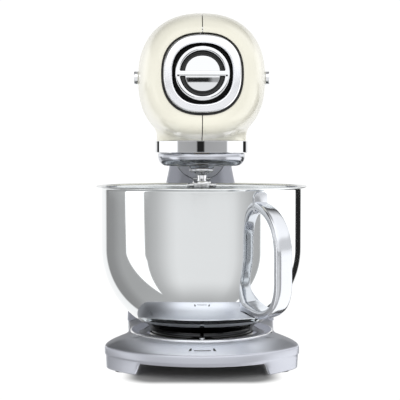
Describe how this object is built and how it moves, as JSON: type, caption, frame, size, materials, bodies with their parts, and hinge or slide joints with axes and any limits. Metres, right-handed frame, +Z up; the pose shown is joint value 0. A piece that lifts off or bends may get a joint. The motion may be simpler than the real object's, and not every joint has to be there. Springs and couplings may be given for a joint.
{
  "type": "stand mixer",
  "caption": "Tilt-head stand mixer with a rounded head on a column, planetary drive, flat beater and a steel bowl with a side handle that locks into the base.",
  "frame": {"origin": "centre of the mixer's box on the surface that its feet stand on", "axes": "+Z up; -Y to the front, where the attachment hub points; +X to the right seen from the front"},
  "size_m": [0.221, 0.4118, 0.378],
  "materials": {
    "silver_paint": "satin",
    "cream_paint": "gloss",
    "chrome": "polished",
    "polished_steel": "polished",
    "steel": "satin",
    "dark_steel": "satin",
    "cast_aluminium": "matte",
    "pan_finish": "satin",
    "beater_finish": "satin",
    "brass": "satin",
    "copper": "satin",
    "black_plastic": "satin",
    "rubber": "matte",
    "board": "satin"
  },
  "bodies": {
    "base": {"base_casting": "silver_paint", "base_cover": "black_plastic", "base_cover_screws": "steel", "rubber_feet": "rubber", "clamp_plate": "chrome", "clamp_screws": "steel", "column": "silver_paint", "column_screws": "steel", "hinge_pin": "steel", "cord_gland": "black_plastic", "power_board": "board", "latch_pin": "steel", "button_spring": "steel"},
    "head": {"head_shell_left": "cream_paint", "head_shell_right": "cream_paint", "shell_screws": "steel", "head_frame": "cast_aluminium", "hinge_bushes": "brass", "bezel_ring": "chrome", "bezel_gasket": "rubber", "side_trims": "chrome", "neck_band": "chrome", "gearbox": "cast_aluminium", "gearbox_cover": "cast_aluminium", "ring_gear": "steel", "shaft_bearings": "steel", "hub_bush": "brass", "motor_stator": "dark_steel", "motor_bracket_front": "cast_aluminium", "motor_bracket_rear": "cast_aluminium", "motor_bearings": "steel", "brush_holders": "brass", "speed_plate": "chrome", "speed_switch": "black_plastic"},
    "latch": {"latch_lever": "steel"},
    "button": {"release_button": "chrome"},
    "speed": {"speed_knob": "chrome"},
    "rotor": {"rotor_shaft": "steel", "rotor_core": "dark_steel", "commutator": "copper", "cooling_fan": "black_plastic"},
    "carrier": {"drive_shaft": "steel", "worm_wheel": "brass", "crown_gear": "steel", "planet_carrier": "pan_finish", "planet_bushes": "brass"},
    "planet": {"beater_shaft": "steel", "planet_pinion": "steel", "drip_washer": "chrome", "beater_pin": "steel"},
    "beater": {"flat_beater": "beater_finish"},
    "hub": {"hub_shaft": "steel", "hub_pinion": "steel"},
    "cap": {"hub_cap": "black_plastic", "hub_cap_ring": "chrome"},
    "bowl": {"bowl_shell": "polished_steel", "bowl_foot": "polished_steel", "bowl_handle": "polished_steel"}
  },
  "joints": [
    {"name": "head_tilt", "type": "hinge", "parent": "base", "child": "head", "pos_m": [0, 0.09992, 0.214], "axis": [-1, 0, 0], "range_deg": [0, 42]},
    {"name": "speed_lever", "type": "slide", "parent": "head", "child": "speed", "axis": [0, -1, 0], "range_m": [0, 0.05]},
    {"name": "release_press", "type": "slide", "parent": "base", "child": "button", "axis": [0, -1, 0], "range_m": [0, 0.005], "stiffness_N_per_m": 400, "springref_m": -0.002, "deforming": ["button_spring"]},
    {"name": "latch_swing", "type": "hinge", "parent": "base", "child": "latch", "pos_m": [0, 0.12192, 0.15], "axis": [1, 0, 0], "range_deg": [0, 18]},
    {"name": "carrier_turn", "type": "hinge", "parent": "head", "child": "carrier", "pos_m": [0, -0.07808, 0.216], "axis": [0, 0, 1], "continuous": true},
    {"name": "rotor_turn", "type": "hinge", "parent": "head", "child": "rotor", "pos_m": [0.023, -0.07808, 0.288], "axis": [0, -1, 0], "continuous": true},
    {"name": "beater_turn", "type": "hinge", "parent": "carrier", "child": "planet", "pos_m": [0, -0.10538, 0.2], "axis": [0, 0, 1], "continuous": true},
    {"name": "hub_turn", "type": "hinge", "parent": "head", "child": "hub", "pos_m": [0, -0.12808, 0.292], "axis": [0, -1, 0], "continuous": true},
    {"name": "beater_twist", "type": "hinge", "parent": "planet", "child": "beater", "pos_m": [0, -0.10538, 0.17], "axis": [0, 0, 1], "range_deg": [0, 40]},
    {"name": "cap_pull", "type": "slide", "parent": "head", "child": "cap", "axis": [0, -1, 0], "range_m": [0, 0.02]},
    {"name": "bowl_turn", "type": "hinge", "parent": "base", "child": "bowl", "pos_m": [0, -0.07808, 0.03], "axis": [0, 0, 1], "range_deg": [0, 28]}
  ],
  "couplings": [
    {"joint": "rotor_turn", "follows": "carrier_turn", "ratio": 12},
    {"joint": "beater_turn", "follows": "carrier_turn", "ratio": -3.3333},
    {"joint": "hub_turn", "follows": "carrier_turn", "ratio": 2},
    {"joint": "latch_swing", "follows": "release_press", "rad_per_m": 62.832}
  ]
}
